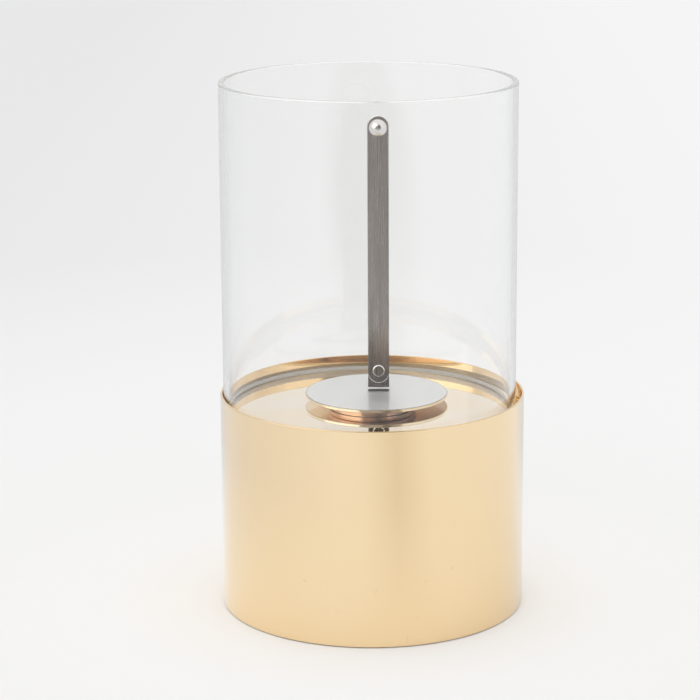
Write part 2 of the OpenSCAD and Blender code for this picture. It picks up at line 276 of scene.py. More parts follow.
def solid_points(node):
    """All corners of a solid, as rows of x, y and z."""
    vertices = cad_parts[node].data.vertices
    points = np.empty(len(vertices) * 3, np.float32)
    vertices.foreach_get("co", points)
    return points.reshape(-1, 3).astype(float)


def solid_box(node):
    """Lowest corner, highest corner and middle of a solid."""
    low, high = (np.array(corner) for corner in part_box(node))
    return low, high, (low + high) / 2


def round_solid(node, axes=UPRIGHT):
    """Measures a round solid about the axis through the middle of its box: distances from that axis."""
    low, high, middle = solid_box(node)
    offsets = solid_points(node) - middle
    radius = np.hypot(offsets @ axes[0], offsets @ axes[1])
    ends = sorted((low @ axes[2], high @ axes[2]))
    return Round(middle - axes[2] * (middle @ axes[2]), radius.min(), radius.max(), *ends)


# Surfaces


def unit(vectors):
    """Vectors of length one."""
    return vectors / np.linalg.norm(vectors, axis=-1, keepdims=True)


def rounded(corners, radii, steps, closed=True):
    """Outline through corners, each turned by an arc that touches both of its sides.

    At a corner whose sides meet at angle a, an arc of radius r starts r / tan(a / 2) along each side and
    has its centre r / sin(a / 2) along the bisector. The arc's points swing evenly from its first radius to
    its last one. One more point before and after each arc keeps the straight runs flat in shading. An open
    outline keeps its first and last corner as they are.
    """
    corners = np.asarray(corners, float)
    before = np.roll(corners, 1, 0)
    after = np.roll(corners, -1, 0)
    here = corners
    if not closed:
        before, here, after = before[1:-1], here[1:-1], after[1:-1]
    radii = np.broadcast_to(np.asarray(radii, float), len(here))[:, None]
    back = unit(before - here)
    ahead = unit(after - here)
    half = np.arccos((back * ahead).sum(1, keepdims=True)) / 2
    run = radii / np.tan(half)
    centre = here + unit(back + ahead) * radii / np.sin(half)
    start = (here + back * run - centre)[:, None]
    end = (here + ahead * run - centre)[:, None]
    swing = (np.pi - 2 * half)[:, None]
    along = np.linspace(0, 1, steps + 1)[None, :, None]
    arc = (np.sin((1 - along) * swing) * start + np.sin(along * swing) * end) / np.sin(swing)
    lead = run + ARC_LEAD * radii
    outline = np.concatenate(
        [(here + back * lead)[:, None], centre[:, None] + arc, (here + ahead * lead)[:, None]], axis=1
    ).reshape(-1, 2)
    if closed:
        return outline
    return np.concatenate([corners[:1], outline, corners[-1:]])


def ring_corners(inner, outer, low, high):
    """Corners of a ring's wall as (r, h), or of a disc's half where the inner radius is 0."""
    return [(inner, low), (outer, low), (outer, high), (inner, high)]


def arc_points(centre, radius, start, end, steps):
    """Points of a circle's arc, from one angle to another."""
    swing = np.linspace(start, end, steps + 1)
    return np.asarray(centre) + radius * np.stack([np.cos(swing), np.sin(swing)], -1)


def quads(rows, columns, wrap_rows):
    """Four-cornered faces of a grid whose columns close on themselves, and its rows too where asked."""
    row = np.arange(rows if wrap_rows else rows - 1)[:, None]
    column = np.arange(columns)[None, :]
    next_row = (row + 1) % rows * columns
    next_column = (column + 1) % columns
    row = row * columns
    corners = (row + column, row + next_column, next_row + next_column, next_row + column)
    return np.stack(corners, -1).reshape(-1, 4)


def turned(outline, centre, axes, count):
    """Surface of revolution: an outline point (r, h) circles the axis at radius r and height h.

    The point at angle a is centre + h * axis + r * (cos a * side + sin a * across). An outline that starts
    and ends on the axis is closed there by two poles, and any other outline closes on itself.
    """
    outline = np.asarray(outline, float)
    ahead = np.roll(outline, -1, 0)
    if (outline[:, 0] * ahead[:, 1] - ahead[:, 0] * outline[:, 1]).sum() < 0:
        outline = outline[::-1]
    side, across, axis = axes
    around = np.linspace(0, 2 * np.pi, count, endpoint=False)
    ring = np.cos(around)[:, None] * side + np.sin(around)[:, None] * across
    poles = outline[outline[:, 0] == 0]
    rows = outline[outline[:, 0] > 0]
    points = centre + rows[:, 1, None, None] * axis + rows[:, 0, None, None] * ring
    points = points.reshape(-1, 3)
    faces = quads(len(rows), count, wrap_rows=len(poles) == 0).tolist()
    if len(poles):
        first = np.arange(count)
        following = (first + 1) % count
        last = len(points) - count
        start = np.full(count, len(points))
        faces += np.stack([start, following, first], -1).tolist()
        faces += np.stack([last + first, last + following, start + 1], -1).tolist()
        points = np.concatenate([points, centre + poles[[0, -1], 1, None] * axis])
    return points, faces


def swept(sections):
    """Closed surface through a row of closed sections, given as rows x points x 3, with flat ends.

    Sections run counter-clockwise seen against the direction in which they follow each other.
    """
    rows, columns, _ = sections.shape
    faces = quads(rows, columns, wrap_rows=False).tolist()
    faces.append(list(range(columns))[::-1])
    faces.append(list(range((rows - 1) * columns, rows * columns)))
    return sections.reshape(-1, 3), faces


def together(*surfaces):
    """Joins surfaces into one, each with its own faces."""
    points = []
    faces = []
    count = 0
    for part_points, part_faces in surfaces:
        points.append(part_points)
        faces += [[corner + count for corner in face] for face in part_faces]
        count += len(part_points)
    return np.concatenate(points), faces


def add_piece(name, surface, finish, slot, body, *nodes):
    """Makes an object of a surface, sets it to move with a body, and hides the named solids.

    A surface may bring a third part: its painted light at each point, from 1 for a painted highlight to -1
    for painted shadow.
    """
    points, faces, *light_paint = surface
    mesh = bpy.data.meshes.new(name)
    mesh.from_pydata(points.tolist(), [], faces)
    if light_paint:
        painted_light = mesh.attributes.new("painted_light", "FLOAT", "POINT")
        painted_light.data.foreach_set("value", light_paint[0].ravel().astype(np.float32))
    mesh.materials.append(finish)
    mesh.shade_smooth()
    mesh.set_sharp_from_angle(angle=SHARP_ANGLE)
    piece = bpy.data.objects.new(name, mesh)
    bpy.context.scene.collection.objects.link(piece)
    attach(piece, body)
    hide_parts(*nodes)
    return piece


# Finishes


def add_node(tree, kind, inputs=None, **settings):
    """Adds a node with its settings, and gives each input a value or joins it to a socket."""
    node = tree.nodes.new(kind)
    for key, value in settings.items():
        setattr(node, key, value)
    feed(tree, node, inputs or {})
    return node


def feed(tree, node, inputs):
    """Gives each named or numbered input of a node a value, or joins it to a socket."""
    for key, value in inputs.items():
        if isinstance(value, bpy.types.NodeSocket):
            tree.links.new(value, node.inputs[key])
        else:
            node.inputs[key].default_value = value


def rgba(value, factor=1.0):
    """A colour with full cover, made darker or paler by a factor."""
    return (*(factor * part for part in value), 1.0)


def worked(tree, operation, first, second=0.0, clamp=False):
    """One step of arithmetic with numbers, each a value or a socket."""
    step = add_node(tree, "ShaderNodeMath", {0: first, 1: second}, operation=operation, use_clamp=clamp)
    return step.outputs[0]


def measured(tree, operation, first, second=(0.0, 0.0, 0.0)):
    """The length, distance or dot product of vectors, each a value or a socket."""
    step = add_node(tree, "ShaderNodeVectorMath", {0: first, 1: second}, operation=operation)
    return step.outputs["Value"]


def spread(tree, value, low, high, start=0.3, end=0.7):
    """Stretches the part of a value between start and end over low to high, and clamps the rest."""
    inputs = {"Value": value, "From Min": start, "From Max": end, "To Min": low, "To Max": high}
    return add_node(tree, "ShaderNodeMapRange", inputs).outputs["Result"]


def rising(tree, value, start=0.3, end=0.7):
    """0 where a value is below start, 1 where it is above end, and even between them."""
    return spread(tree, value, 0.0, 1.0, start, end)


def falling(tree, value, start, end):
    """1 where a value is below start, 0 where it is above end, and even between them."""
    return spread(tree, value, 1.0, 0.0, start, end)


def mixed(tree, factor, first, second):
    """Mixes two colours, each a value or a socket."""
    mix = add_node(tree, "ShaderNodeMix", {0: factor, 6: first, 7: second}, data_type="RGBA")
    return mix.outputs[2]


def blended(tree, factor, first, second):
    """Mixes two numbers, each a value or a socket."""
    mix = add_node(tree, "ShaderNodeMix", {0: factor, 2: first, 3: second}, data_type="FLOAT")
    return mix.outputs[0]


def place_of(tree):
    """Object coordinates."""
    return add_node(tree, "ShaderNodeTexCoord").outputs["Object"]


def grain(tree, scale, detail=3.0):
    """Noise on object coordinates with so many waves a metre along X, Y and Z."""
    mapped = add_node(tree, "ShaderNodeMapping", {"Vector": place_of(tree), "Scale": scale})
    inputs = {"Vector": mapped.outputs["Vector"], "Scale": 1.0, "Detail": detail}
    return add_node(tree, "ShaderNodeTexNoise", inputs).outputs["Fac"]


def level(tree, axis):
    """Object coordinate along X, Y or Z."""
    return add_node(tree, "ShaderNodeSeparateXYZ", {"Vector": place_of(tree)}).outputs[axis]


def from_axis(tree, centre, across):
    """Distance from the axis through a centre; across is 1 for the two directions square to that axis."""
    offset = add_node(tree, "ShaderNodeVectorMath", {0: place_of(tree), 1: centre}, operation="SUBTRACT")
    flat = add_node(tree, "ShaderNodeVectorMath", {0: offset.outputs[0], 1: across}, operation="MULTIPLY")
    return measured(tree, "LENGTH", flat.outputs[0])


def bump(tree, height, depth, strength=1.0):
    """Surface normal tipped by a height that spans depth metres."""
    raised = add_node(tree, "ShaderNodeBump", {"Height": height, "Distance": depth, "Strength": strength})
    return raised.outputs["Normal"]


def new_finish(name):
    """An empty material, its tree and its shader."""
    finish = bpy.data.materials.new(name)
    finish.use_nodes = True
    return finish, finish.node_tree, finish.node_tree.nodes["Principled BSDF"]


def polished_brass(tree, colours):
    """Lacquered brass with cloudy patches of warmer tone, fine specks, and a slightly uneven gloss.

    Its brim is tarnished, and its inside is smoother than its outside.
    """
    depth = bpy.context.scene.lantern_sizes.brim
    sleeve = round_solid("base_sleeve")
    clouds = rising(tree, grain(tree, (11.0, 11.0, 7.0), 2.0))
    specks = spread(tree, grain(tree, (420.0, 420.0, 420.0), 2.0), 0.0, 0.35, 0.72, 0.78)
    tone = mixed(tree, clouds, rgba(colours.brass), rgba(colours.brass_warm))
    brim = spread(tree, level(tree, "Z"), 0.0, 0.55, sleeve.high - depth, sleeve.high - depth / 3)
    tone = mixed(tree, brim, tone, rgba(colours.tarnish))
    outside = rising(tree, from_axis(tree, sleeve.centre, (1, 1, 0)), sleeve.inner, sleeve.outer)
    gloss = blended(tree, outside, colours.inside_gloss, colours.brass_gloss)
    uneven = spread(tree, grain(tree, (90.0, 90.0, 60.0)), 0.8, 1.25)
    return {
        "Base Color": mixed(tree, specks, tone, rgba(colours.tarnish)),
        "Metallic": 1.0,
        "Roughness": worked(tree, "MULTIPLY", gloss, uneven),
        "Coat Weight": 1.0,
        "Coat Roughness": 0.06,
        "Normal": bump(tree, grain(tree, (26.0, 26.0, 18.0), 1.0), 0.3 * MM, 0.25),
    }


def mirror_brass(tree, colours):
    """Pale mirror-polished sheet, a little wavy, with hair-fine wipe marks in its gloss."""
    marks = grain(tree, (1500.0, 60.0, 60.0), 2.0)
    haze = spread(tree, grain(tree, (30.0, 30.0, 30.0)), 0.0, 0.5)
    return {
        "Base Color": mixed(tree, haze, rgba(colours.deck), rgba(colours.brass)),
        "Metallic": 1.0,
        "Roughness": spread(tree, marks, 0.02, 0.05),
        "Normal": bump(tree, grain(tree, (38.0, 38.0, 38.0), 1.0), 0.1 * MM, 0.2),
    }


def clear_glass(tree, colours):
    """Clear tube glass, drawn a little unevenly: green at depth, matt on its rim and inside its foot."""
    sizes = bpy.context.scene.lantern_sizes
    glass = round_solid("glass_chimney")
    foot_end = glass.low + sizes.matt_foot
    rim_start = glass.high - sizes.matt_rim
    height = level(tree, "Z")
    inside = falling(tree, from_axis(tree, glass.centre, (1, 1, 0)), glass.inner, glass.outer)
    foot = spread(tree, height, colours.foot_matt, 0.0, foot_end - sizes.matt_fade, foot_end)
    foot = worked(tree, "MULTIPLY", foot, inside)
    rim = spread(tree, height, 0.0, colours.rim_matt, rim_start, rim_start + sizes.matt_fade / 4)
    ground = worked(tree, "MAXIMUM", foot, rim)
    clear = spread(tree, grain(tree, (60.0, 60.0, 25.0)), 0.0, 0.012)
    tint = {"Color": rgba(colours.glass), "Density": GLASS_DENSITY}
    depth = add_node(tree, "ShaderNodeVolumeAbsorption", tint)
    tree.links.new(depth.outputs["Volume"], tree.nodes["Material Output"].inputs["Volume"])
    return {
        "Base Color": (1.0, 1.0, 1.0, 1.0),
        "Transmission Weight": falling(tree, ground, 0.0, 1.0),
        "IOR": GLASS_IOR,
        "Roughness": blended(tree, ground, clear, 0.5),
        "Normal": bump(tree, grain(tree, (45.0, 45.0, 6.0), 1.0), 0.05 * MM, 0.2),
    }


def polished_steel(tree, colours):
    """Bright steel with faint polishing lines and cloudy gloss."""
    gloss = colours.steel_gloss
    lines = grain(tree, POLISH_LINES, 2.0)
    clouds = rising(tree, grain(tree, STEEL_CLOUDS))
    return {
        "Base Color": mixed(tree, clouds, rgba(colours.knob), rgba(colours.knob, 0.95)),
        "Metallic": 1.0,
        "Roughness": spread(tree, lines, 0.7 * gloss, 1.4 * gloss),
        "Normal": bump(tree, grain(tree, (60.0, 60.0, 60.0), 1.0), 0.04 * MM, 0.15),
    }


def sheen_painted_brass(tree, colours):
    """Neck ring: straw behind, and in front a painted coppery sheen that darkens to brown-violet painted
    shade on the right.
    """
    neck = round_solid("burner_neck")
    back = neck.centre[1]
    # Painted shade: darkest to the right, with cloudy edges
    shaded_side = rising(tree, level(tree, "X"), -0.2 * neck.outer, 0.7 * neck.outer)
    clouds = spread(tree, grain(tree, (120.0, 120.0, 300.0)), -0.3, 0.3)
    shaded_side = worked(tree, "ADD", shaded_side, clouds, clamp=True)
    tint = mixed(tree, shaded_side, rgba(colours.copper_sheen), rgba(colours.violet_shade))
    front = falling(tree, level(tree, "Y"), back, back + 0.7 * neck.outer)
    return {
        "Base Color": mixed(tree, front, rgba(colours.straw), tint),
        "Metallic": 1.0,
        "Roughness": spread(tree, clouds, 0.12, 0.24, -0.3, 0.3),
    }


def lid_steel(tree, colours):
    """Lid: satin under a clear polish; underneath, pale straw with brown-violet painted shade at the front
    right.

    Its edge has a painted straw reflection, with a painted shade line along each of the edge's two corners.
    """
    lid = round_solid("lid_disc")
    thick = lid.high - lid.low
    back = lid.centre[1]
    height = level(tree, "Z")
    under = falling(tree, height, lid.low + 0.02 * thick, lid.low + 0.1 * thick)
    away = from_axis(tree, lid.centre, (1, 1, 0))
    # The edge: a painted straw reflection, with painted shade along its two corners
    edge = rising(tree, away, lid.outer - 0.5 * thick, lid.outer - 0.3 * thick)
    off_middle = worked(tree, "ABSOLUTE", worked(tree, "SUBTRACT", height, (lid.low + lid.high) / 2))
    corner = spread(tree, off_middle, 0.0, 0.8, 0.28 * thick, 0.36 * thick)
    rim = mixed(tree, corner, rgba(colours.edge), rgba(colours.corner_shade))
    clouds = rising(tree, grain(tree, STEEL_CLOUDS))
    satin = mixed(tree, clouds, rgba(colours.lid), rgba(colours.lid, 0.95))
    # Painted shade: the underside turns brown-violet towards its front right
    right = rising(tree, level(tree, "X"), -0.5 * lid.outer, 0.1 * lid.outer)
    front = falling(tree, level(tree, "Y"), back + 0.1 * lid.outer, back + 0.7 * lid.outer)
    shaded_side = worked(tree, "MULTIPLY", right, front)
    stain = mixed(tree, shaded_side, rgba(colours.straw), rgba(colours.violet_shade))
    smooth = worked(tree, "MAXIMUM", edge, under)
    gloss = blended(tree, smooth, colours.satin_gloss, 2 * colours.steel_gloss)
    lines = spread(tree, grain(tree, POLISH_LINES, 2.0), 0.95, 1.05)
    return {
        "Base Color": mixed(tree, under, mixed(tree, edge, satin, rim), stain),
        "Metallic": 1.0,
        "Roughness": worked(tree, "MULTIPLY", gloss, lines),
        "Coat Weight": 0.75,
        "Coat Roughness": 0.1,
    }


def rivet_steel(tree, colours):
    """Hinge rivet: a brushed flat that was ground with the bar, inside a bright bevel."""
    rivet = round_solid("hinge_rivet", FORWARD)
    flat_r = bpy.context.scene.lantern_sizes.rivet_flat / 2
    bevel = rising(tree, from_axis(tree, rivet.centre, (1, 0, 1)), 0.93 * flat_r, flat_r)
    lines = rising(tree, grain(tree, BRUSH_LINES))
    brushed = mixed(tree, lines, rgba(colours.bar_dark), rgba(colours.soot_and_shadow))
    return {
        "Base Color": mixed(tree, bevel, brushed, rgba(colours.knob)),
        "Metallic": 1.0,
        "Roughness": blended(tree, bevel, 0.3, colours.steel_gloss),
    }


def brushed_steel(tree, colours):
    """Steel brushed along Z: long fine lines that darken, roughen and groove the surface.

    It is smoked near the flame. A surface's painted light gives a painted highlight at 1 and painted shadow
    at -1.
    """
    reach = bpy.context.scene.lantern_sizes.smoke
    pivot_z = round_solid("hinge_rivet", FORWARD).centre[2]
    lines = grain(tree, BRUSH_LINES)
    bands = grain(tree, (420.0, 420.0, 14.0), 2.0)
    tone = mixed(tree, spread(tree, lines, 0.0, 0.6), rgba(colours.bar), rgba(colours.bar_dark))
    tone = mixed(tree, spread(tree, bands, 0.0, 0.45), tone, rgba(colours.bar_dark))
    smoke = spread(tree, level(tree, "Z"), 0.9, 0.0, pivot_z - reach / 4, pivot_z + reach)
    tone = mixed(tree, smoke, tone, rgba(colours.soot_and_shadow))
    # Painted light: a painted highlight at 1, and painted shadow from a tenth of the soot colour at -1
    painted_light = add_node(tree, "ShaderNodeAttribute", attribute_name="painted_light").outputs["Fac"]
    tone = mixed(tree, falling(tree, painted_light, -1.0, -0.5), tone, rgba(colours.soot_and_shadow, 0.1))
    return {
        "Base Color": mixed(tree, painted_light, tone, rgba(colours.lid)),
        "Metallic": 1.0,
        "Roughness": blended(tree, painted_light, spread(tree, lines, 0.24, 0.36), 2 * colours.steel_gloss),
        "Normal": bump(tree, lines, 0.012 * MM, 0.5),
    }


def plain_steel(tree, colours):
    """Dull drawn sheet with fine mottling."""
    mottle = grain(tree, (160.0, 160.0, 40.0))
    return {
        "Base Color": mixed(tree, rising(tree, mottle), rgba(colours.steel), rgba(colours.steel, 0.82)),
        "Metallic": 1.0,
        "Roughness": spread(tree, mottle, 0.26, 0.42),
        "Normal": bump(tree, grain(tree, (1400.0, 1400.0, 300.0)), 0.02 * MM, 0.4),
    }


def mineral_wool(tree, colours):
    """White fibre: crossing fine strands that shade and raise the surface."""
    strands = grain(tree, (900.0, 2600.0, 1200.0), 5.0)
    return {
        "Base Color": mixed(tree, rising(tree, strands), rgba(colours.wool, 0.62), rgba(colours.wool)),
        "Roughness": 0.95,
        "Specular IOR Level": 0.2,
        "Sheen Weight": 0.3,
        "Normal": bump(tree, strands, 0.25 * MM),
    }


def felt_cloth(tree, colours):
    """Grey pressed felt with a fine nap."""
    nap = grain(tree, (2200.0, 2200.0, 2200.0), 5.0)
    return {
        "Base Color": mixed(tree, rising(tree, nap), rgba(colours.felt), rgba(colours.felt, 2.2)),
        "Roughness": 1.0,
        "Specular IOR Level": 0.1,
        "Sheen Weight": 0.4,
        "Normal": bump(tree, nap, 0.2 * MM),
    }


# Each finish: the function that gives its shader's inputs, and the material slot that it belongs to
FINISHES = {
    "polished_brass": (polished_brass, "polished_brass"),
    "sheen_painted_brass": (sheen_painted_brass, "polished_brass"),
    "mirror_brass": (mirror_brass, "mirror_brass"),
    "clear_glass": (clear_glass, "clear_glass"),
    "polished_steel": (polished_steel, "polished_steel"),
    "lid_steel": (lid_steel, "polished_steel"),
    "rivet_steel": (rivet_steel, "polished_steel"),
    "brushed_steel": (brushed_steel, "brushed_steel"),
    "plain_steel": (plain_steel, "plain_steel"),
    "mineral_wool": (mineral_wool, "mineral_wool"),
    "felt": (felt_cloth, "felt"),
}


def finish_of(name):
    """A finish by its name, made when it is first asked for."""
    scene = bpy.context.scene
    key = "lantern_finish_" + name
    made = scene.get(key)
    if made is None:
        made, tree, shader = new_finish(name)
        shader_inputs = FINISHES[name][0]
        feed(tree, shader, shader_inputs(tree, scene.lantern_finish))
        scene[key] = made
    return made


# Pieces


def sleeve_surface(sizes):
    """Plain tube with small roundings on its four edges."""
    sleeve = round_solid("base_sleeve")
    corners = ring_corners(sleeve.inner, sleeve.outer, sleeve.low, sleeve.high)
    outline = rounded(corners, sizes.rim_round, sizes.arc_steps)
    return turned(outline, sleeve.centre, UPRIGHT, sizes.around)


def deck_surface(sizes):
    """Flat sheet whose outer edge and centre hole are both turned down into short skirts."""
    deck = round_solid("deck_plate")
    t = sizes.sheet_t
    corners = [
        (deck.inner, deck.low),
        (deck.inner, deck.high),
        (deck.outer, deck.high),
        (deck.outer, deck.low),
        (deck.outer - t, deck.low),
        (deck.outer - t, deck.high - t),
        (deck.inner + t, deck.high - t),
        (deck.inner + t, deck.low),
    ]
    bend = sizes.sheet_bend
    cut = sizes.cut_edge
    radii = [cut, bend + t, bend + t, cut, cut, bend, bend, cut]
    return turned(rounded(corners, radii, sizes.arc_steps), deck.centre, UPRIGHT, sizes.around)


def pad_surface(sizes):
    """Four felt discs with soft edges, one under each quarter of the base."""
    points = solid_points("foot_pads")
    low = points[:, 2].min()
    high = points[:, 2].max()
    discs = []
    for right in (-1, 1):
        for back in (-1, 1):
            quarter = points[(points[:, 0] * right > 0) & (points[:, 1] * back > 0)]
            start = quarter.min(0)
            end = quarter.max(0)
            centre = (start + end) / 2 * (1, 1, 0)
            radius = (end[0] - start[0]) / 2
            corners = ring_corners(0, radius, low, high)
            outline = rounded(corners, sizes.pad_edge, sizes.arc_steps, closed=False)
            discs.append(turned(outline, centre, UPRIGHT, sizes.around_small))
    return together(*discs)


def glass_surface(sizes):
    """Straight glass tube whose ends are melted round."""
    glass = round_solid("glass_chimney")
    corners = ring_corners(glass.inner, glass.outer, glass.low, glass.high)
    radii = [sizes.glass_foot, sizes.glass_foot, sizes.glass_rim, sizes.glass_rim]
    outline = rounded(corners, radii, 2 * sizes.arc_steps)
    return turned(outline, glass.centre, UPRIGHT, sizes.around)


def neck_surface(sizes):
    """Ring that stands on the deck, with a lip that laps inwards over the can's edge."""
    neck = round_solid("burner_neck")
    can = round_solid("burner_can")
    corners = [
        (can.outer, neck.low),
        (neck.outer, neck.low),
        (neck.outer, neck.high),
        (neck.inner, neck.high),
        (neck.inner, can.high),
        (can.outer, can.high),
    ]
    cut = sizes.cut_edge
    radii = [cut, cut, sizes.neck_round, cut, cut, cut]
    return turned(rounded(corners, radii, sizes.arc_steps), neck.centre, UPRIGHT, sizes.around)


def can_surface(sizes):
    """Deep drawn cup with a round bottom corner."""
    can = round_solid("burner_can")
    wall = sizes.can_wall
    floor = can.low + wall
    inside = can.outer - wall
    corners = [
        (0, can.low),
        (can.outer, can.low),
        (can.outer, can.high),
        (inside, can.high),
        (inside, floor),
        (0, floor),
    ]
    corner = sizes.can_corner
    radii = [corner + wall, sizes.cut_edge, sizes.cut_edge, corner]
    outline = rounded(corners, radii, sizes.arc_steps, closed=False)
    return turned(outline, can.centre, UPRIGHT, sizes.around)


def wool_surface(sizes):
    """Plug of wool: a cup-shaped side and a tufted top, lowered by crossing waves of several lengths."""
    wool = round_solid("fuel_wool")
    corner = sizes.can_corner
    rings = np.linspace(1, 0, WOOL_RINGS)[1:-1]
    corners = ring_corners(0, wool.outer, wool.low, wool.high)
    outline = rounded(corners, [corner, sizes.pad_edge], sizes.arc_steps, closed=False)
    top = np.stack([rings * (wool.outer - 2 * sizes.pad_edge), np.full(len(rings), wool.high)], -1)
    outline = np.concatenate([outline[:-1], top, outline[-1:]])
    points, faces = turned(outline, wool.centre, UPRIGHT, sizes.around_small)
    waves = np.random.default_rng(WOOL_SEED)
    tufts = np.zeros(len(points))
    for wave_length in TUFT_WAVES:
        heading = waves.uniform(0, 2 * np.pi, 3)
        phase = points[:, 0, None] * np.cos(heading) + points[:, 1, None] * np.sin(heading)
        tufts += np.sin(phase * 2 * np.pi / (wave_length * MM) + heading).mean(1)
    on_top = points[:, 2] > wool.high - sizes.pad_edge
    points[on_top, 2] -= sizes.wool_loft * (tufts[on_top] - tufts.min()) / np.ptp(tufts)
    return points, faces


def ring_surface(sizes):
    """Round wire bent to a circle that stays open in front, as a springy split ring."""
    ring = round_solid("screen_ring")
    wire = (ring.high - ring.low) / 2
    path_r = ring.outer - wire
    start = sizes.ring_split / 2 - np.pi / 2
    along = np.linspace(start, start + 2 * np.pi - sizes.ring_split, sizes.around_small)
    outward = np.cos(along)[:, None] * X + np.sin(along)[:, None] * Y
    round_wire = arc_points((0, 0), wire, 0, 2 * np.pi, 4 * sizes.arc_steps)[:-1]
    centre = np.array((0.0, 0.0, (ring.high + ring.low) / 2))
    sections = centre + outward[:, None] * (path_r + round_wire[None, ::-1, 0, None])
    return swept(sections + round_wire[None, ::-1, 1, None] * Z)


def lid_surface(sizes):
    """Flat disc with softened edges."""
    lid = round_solid("lid_disc")
    corners = ring_corners(0, lid.outer, lid.low, lid.high)
    outline = rounded(corners, sizes.lid_edge, sizes.arc_steps, closed=False)
    return turned(outline, lid.centre, UPRIGHT, sizes.around)


def bracket_surface(sizes):
    """Sheet strip bent once: a round-topped tab that turns into a foot towards the back.

    The strip's mid line runs down the tab, round a quarter circle and along the foot. Each section is the
    strip's own rounded rectangle, and near the top its half width w at depth d below the top follows the
    circle w * w = r * r - (r - d) * (r - d). The bend has a painted highlight above, and painted shadow
    outside and below, where it meets the lid.
    """
    low, high, middle = solid_box("hinge_bracket")
    t = sizes.bracket_t
    r = (high[0] - low[0]) / 2
    turn_r = sizes.bracket_bend + t / 2
    turn_centre = np.array((low[1] + t / 2 + turn_r, low[2] + t / 2 + turn_r))
    tip = np.linspace(TIP_ANGLE, math.pi / 2, 3 * sizes.arc_steps)
    tab_z = np.concatenate([high[2] - r * (1 - np.cos(tip)), [turn_centre[1]]])
    tab = np.stack([np.full(len(tab_z), turn_centre[0] - turn_r), tab_z], -1)
    swing = np.linspace(math.pi, 1.5 * math.pi, 2 * sizes.arc_steps + 1)
    facing = np.stack([np.cos(swing), np.sin(swing)], -1)
    bend = turn_centre + turn_r * facing
    foot = np.array([(high[1], turn_centre[1] - turn_r)])
    path = np.concatenate([tab, bend[1:], foot])
    outward = np.concatenate([np.repeat(facing[:1], len(tab), 0), facing[1:], facing[-1:]])
    half = np.concatenate([r * np.sin(tip), np.full(len(path) - len(tip), r)])
    edge = sizes.bracket_edge
    around = np.linspace(0, 2 * np.pi, 4 * (sizes.arc_steps + 1), endpoint=False)
    offset = edge * np.stack([np.cos(around), np.sin(around)], -1)
    corner = np.repeat([(1, 1), (-1, 1), (-1, -1), (1, -1)], sizes.arc_steps + 1, axis=0)
    across = corner[:, 0] * (half[:, None] - edge) + offset[:, 0]
    through = corner[:, 1] * (t / 2 - edge) + offset[:, 1]
    sections = np.zeros((len(path), len(around), 3))
    sections[:, :, 0] = middle[0] + across
    sections[:, :, 1:] = path[:, None] + outward[:, None] * through[None, :, None]
    # Painted highlight on the upper rows of the bend, and painted shadow on its outer face lower down and
    # along the foot
    painted_light = np.zeros(sections.shape[:2])
    painted_light[len(tab) + 1 : len(tab) + sizes.arc_steps - 1] = 1
    painted_light[len(tab) + sizes.arc_steps : -2, through > 0] = -1
    return *swept(sections), painted_light


def foot_rivet_surface(sizes):
    """Two rivets along the bracket's foot, each a shank with a low domed head.

    The dome is a cap of the sphere through its rim and top: radius (r * r + h * h) / (2 * h).
    """
    low, high, middle = solid_box("bracket_rivets")
    seat = solid_box("hinge_bracket")[0][2] + sizes.bracket_t
    inside = solid_box("lid_disc")[2][2]
    head_r = (high[0] - low[0]) / 2
    rise = high[2] - seat
    ball_r = (head_r**2 + rise**2) / (2 * rise)
    rim = math.asin((ball_r - rise) / ball_r)
    dome = arc_points((0, high[2] - ball_r), ball_r, rim, math.pi / 2, 2 * sizes.arc_steps)
    dome[-1, 0] = 0
    shank = sizes.foot_shank / 2
    outline = np.concatenate([[(0, inside), (shank, inside), (shank, seat)], dome])
    rivets = []
    for y in (low[1] + head_r, high[1] - head_r):
        rivets.append(turned(outline, np.array((middle[0], y, 0.0)), UPRIGHT, sizes.around_small))
    return together(*rivets)


def hinge_rivet_surface(sizes):
    """Shank with a bevelled flat head at each end, turned about the hinge's axis."""
    rivet = round_solid("hinge_rivet", FORWARD)
    shank = sizes.rivet_shank / 2
    flat = sizes.rivet_flat / 2
    rise = sizes.rivet_rise
    corners = [
        (0, rivet.low),
        (flat, rivet.low),
        (rivet.outer, rivet.low + rise),
        (shank, rivet.low + rise),
        (shank, rivet.high - rise),
        (rivet.outer, rivet.high - rise),
        (flat, rivet.high),
        (0, rivet.high),
    ]
    cut = sizes.cut_edge
    radii = [2 * cut, cut / 2, cut / 2, cut / 2, cut / 2, 2 * cut]
    outline = rounded(corners, radii, sizes.arc_steps, closed=False)
    return turned(outline, rivet.centre, FORWARD, sizes.around_small)


def washer_outline(sizes, outer, low, high):
    """Flat ring with rounded edges."""
    hole = sizes.washer_hole / 2
    return rounded(ring_corners(hole, outer, low, high), sizes.cut_edge, sizes.arc_steps)


def hinge_washer_surface(sizes):
    """One washer on each face of the bracket's tab."""
    pair = round_solid("hinge_washers", FORWARD)
    t = sizes.washer_t
    washers = []
    for start in (pair.low, pair.high - t):
        outline = washer_outline(sizes, pair.outer, start, start + t)
        washers.append(turned(outline, pair.centre, FORWARD, sizes.around_small))
    return together(*washers)


def knob_washer_surface(sizes):
    """Washer under the head of the knob's screw."""
    washer = round_solid("knob_washer", FORWARD)
    outline = washer_outline(sizes, washer.outer, washer.low, washer.high)
    return turned(outline, washer.centre, FORWARD, sizes.around_small)


